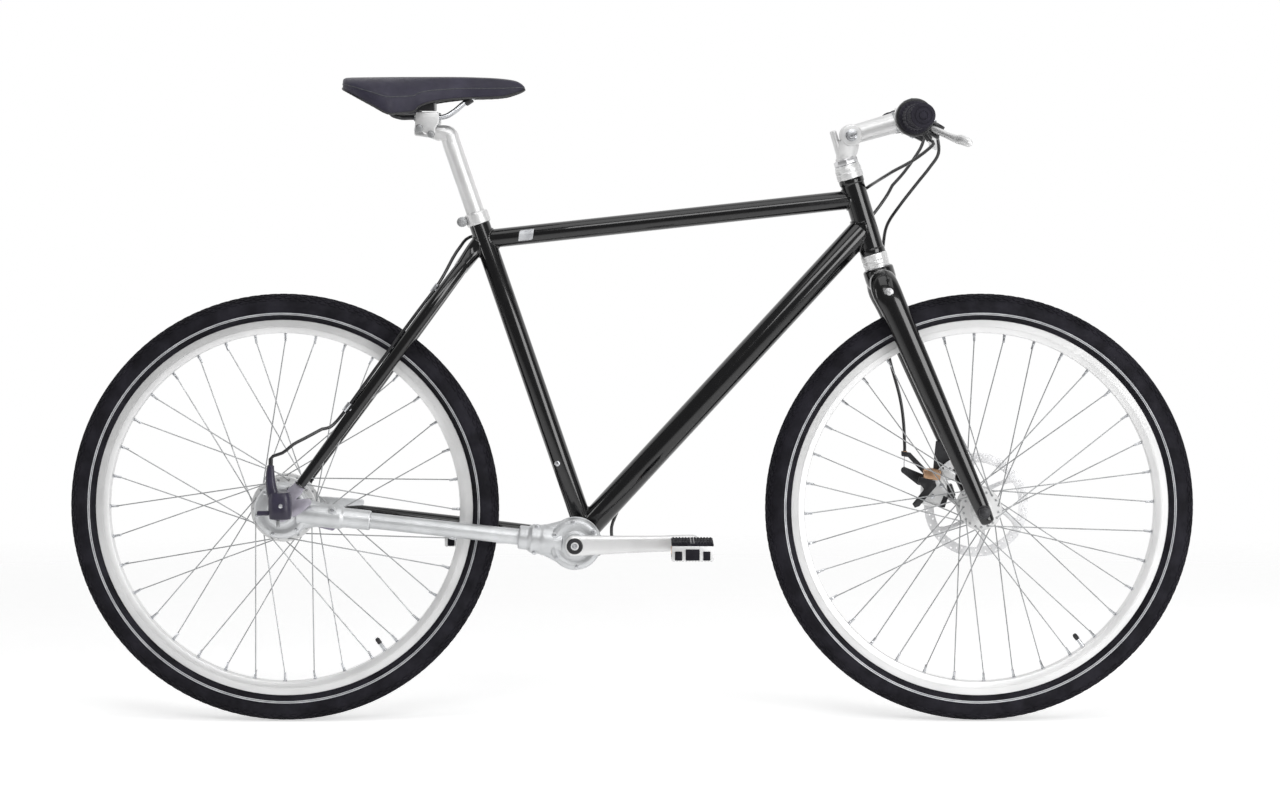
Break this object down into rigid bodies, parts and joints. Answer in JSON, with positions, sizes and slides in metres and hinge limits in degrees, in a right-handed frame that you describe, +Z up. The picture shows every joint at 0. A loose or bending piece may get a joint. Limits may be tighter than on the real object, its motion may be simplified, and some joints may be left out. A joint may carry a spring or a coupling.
{
  "type": "city bike",
  "caption": "City bicycle with an enclosed bevel-gear shaft drive, laced wheels, front disc brake, hub gear, flat bar with twist shifter, and a padded saddle.",
  "frame": {"origin": "on the ground, midway between the contact points of the two wheels", "axes": "+X forward, +Y to the rider's left, +Z up"},
  "size_m": [1.708, 0.596, 0.976],
  "materials": {
    "black_paint": "gloss black paint",
    "silver_casting": "fine satin cast and turned aluminium",
    "polished_metal": "polished plating",
    "steel": "plain bright steel",
    "dark_metal": "dark coated steel",
    "tyre_rubber": "matt black tyre rubber",
    "grip_rubber": "matt black moulded rubber",
    "black_plastic": "matt black moulded plastic",
    "saddle_vinyl": "soft dark slate cover over padding",
    "cable_casing": "smooth black cable casing"
  },
  "bodies": {
    "frame": {"head_tube": "black_paint", "top_tube": "black_paint", "down_tube": "black_paint", "seat_tube": "black_paint", "bottom_bracket_shell": "black_paint", "seat_stay_right": "black_paint", "seat_stay_left": "black_paint", "chainstay_left": "black_paint", "dropout_right": "black_paint", "dropout_left": "black_paint", "headset_lower_cup": "polished_metal", "headset_upper_cup": "polished_metal", "seat_collar": "silver_casting", "front_gear_case": "silver_casting", "shaft_housing": "silver_casting", "rear_gear_case": "silver_casting", "rear_axle": "steel", "hub_shift_box": "black_plastic", "rear_brake_plate": "dark_metal", "shift_cable": "cable_casing", "rear_brake_cable": "cable_casing"},
    "fork": {"fork_steerer": "black_paint", "fork_blade_right": "black_paint", "fork_blade_left": "black_paint", "front_axle": "steel", "stem_quill": "silver_casting", "disc_caliper": "steel", "front_brake_cable": "cable_casing"},
    "handlebar_body": {"stem_arm": "silver_casting", "stem_face_cap": "silver_casting", "handlebar": "polished_metal", "grip_right": "grip_rubber", "grip_left": "grip_rubber", "shifter_housing": "black_plastic", "brake_bracket_right": "dark_metal", "brake_bracket_left": "dark_metal"},
    "twist": {"twist_grip": "grip_rubber"},
    "right_lever": {"brake_lever_right": "polished_metal"},
    "left_lever": {"brake_lever_left": "polished_metal"},
    "front_arm": {"caliper_arm": "dark_metal"},
    "rear_arm": {"rear_brake_arm": "steel"},
    "front_wheel": {"front_tyre": "tyre_rubber", "front_rim": "silver_casting", "front_hub_and_spokes": "steel", "brake_rotor": "steel"},
    "rear_wheel": {"rear_tyre": "tyre_rubber", "rear_rim": "silver_casting", "rear_hub_and_spokes": "silver_casting"},
    "crankset": {"crank_spindle": "steel", "crank_bevel_gear": "steel", "crank_right": "silver_casting", "crank_left": "silver_casting"},
    "shaft": {"drive_shaft": "steel"},
    "hub_gear": {"hub_bevel_gear": "steel"},
    "right_pedal": {"pedal_right": "black_plastic"},
    "left_pedal": {"pedal_left": "black_plastic"},
    "post": {"seatpost": "silver_casting"},
    "saddle_body": {"saddle_clamp": "steel", "saddle_rails": "dark_metal", "saddle": "saddle_vinyl"}
  },
  "joints": [
    {"name": "steering", "type": "hinge", "parent": "frame", "child": "fork", "pos_m": [0.37168, 0, 0.69126], "axis": [-0.2924, 0, 0.9563], "range_deg": [-60, 60], "deforming": ["shift_cable", "rear_brake_cable", "front_brake_cable"]},
    {"name": "stem_angle", "type": "hinge", "parent": "fork", "child": "handlebar_body", "pos_m": [0.3302, 0, 0.89054], "axis": [0, 1, 0], "range_deg": [-40, 10], "deforming": ["shift_cable", "rear_brake_cable", "front_brake_cable"]},
    {"name": "gear_twist", "type": "hinge", "parent": "handlebar_body", "child": "twist", "pos_m": [0.41331, 0, 0.91452], "axis": [0, 1, 0], "range_deg": [-70, 70]},
    {"name": "right_brake_lever", "type": "hinge", "parent": "handlebar_body", "child": "right_lever", "pos_m": [0.4398, -0.1212, 0.90044], "axis": [-0.4695, 0, -0.8829], "range_deg": [0, 16], "stiffness_Nm_per_rad": 0.5, "springref_deg": -20.05},
    {"name": "left_brake_lever", "type": "hinge", "parent": "handlebar_body", "child": "left_lever", "pos_m": [0.4398, 0.15, 0.90044], "axis": [0.4695, 0, 0.8829], "range_deg": [0, 16], "stiffness_Nm_per_rad": 0.5, "springref_deg": -20.05},
    {"name": "front_brake_arm", "type": "hinge", "parent": "fork", "child": "front_arm", "pos_m": [0.4433, 0.04, 0.3636], "axis": [0, 1, 0], "range_deg": [0, 12]},
    {"name": "rear_brake_arm_swing", "type": "hinge", "parent": "frame", "child": "rear_arm", "pos_m": [-0.506, 0.05, 0.304], "axis": [0, -1, 0], "range_deg": [0, 12]},
    {"name": "front_wheel_spin", "type": "hinge", "parent": "fork", "child": "front_wheel", "pos_m": [0.528, 0, 0.326], "axis": [0, 1, 0], "continuous": true},
    {"name": "rear_wheel_spin", "type": "hinge", "parent": "frame", "child": "rear_wheel", "pos_m": [-0.528, 0, 0.326], "axis": [0, 1, 0], "continuous": true},
    {"name": "crank_spin", "type": "hinge", "parent": "frame", "child": "crankset", "pos_m": [-0.0856, 0, 0.2767], "axis": [0, 1, 0], "continuous": true},
    {"name": "drive_shaft_spin", "type": "hinge", "parent": "frame", "child": "shaft", "pos_m": [-0.0856, -0.048, 0.2767], "axis": [0.9938, 0, -0.1107], "continuous": true},
    {"name": "hub_gear_spin", "type": "hinge", "parent": "frame", "child": "hub_gear", "pos_m": [-0.528, -0.048, 0.326], "axis": [0, 1, 0], "continuous": true},
    {"name": "right_pedal_spin", "type": "hinge", "parent": "crankset", "child": "right_pedal", "pos_m": [0.08934, -0.14, 0.28128], "axis": [0, 1, 0], "continuous": true},
    {"name": "left_pedal_spin", "type": "hinge", "parent": "crankset", "child": "left_pedal", "pos_m": [-0.26054, 0.14, 0.27212], "axis": [0, 1, 0], "continuous": true},
    {"name": "seat_height", "type": "slide", "parent": "frame", "child": "post", "axis": [-0.3239, 0, 0.9461], "range_m": [-0.085, 0.09]},
    {"name": "saddle_tilt", "type": "hinge", "parent": "post", "child": "saddle_body", "pos_m": [-0.309, 0, 0.9045], "axis": [0, 1, 0], "range_deg": [-12, 12]}
  ],
  "couplings": [
    {"joint": "front_brake_arm", "follows": "right_brake_lever", "ratio": 0.6667},
    {"joint": "rear_brake_arm_swing", "follows": "left_brake_lever", "ratio": 0.6667},
    {"joint": "drive_shaft_spin", "follows": "crank_spin", "ratio": -3},
    {"joint": "hub_gear_spin", "follows": "crank_spin", "ratio": 1.5}
  ]
}
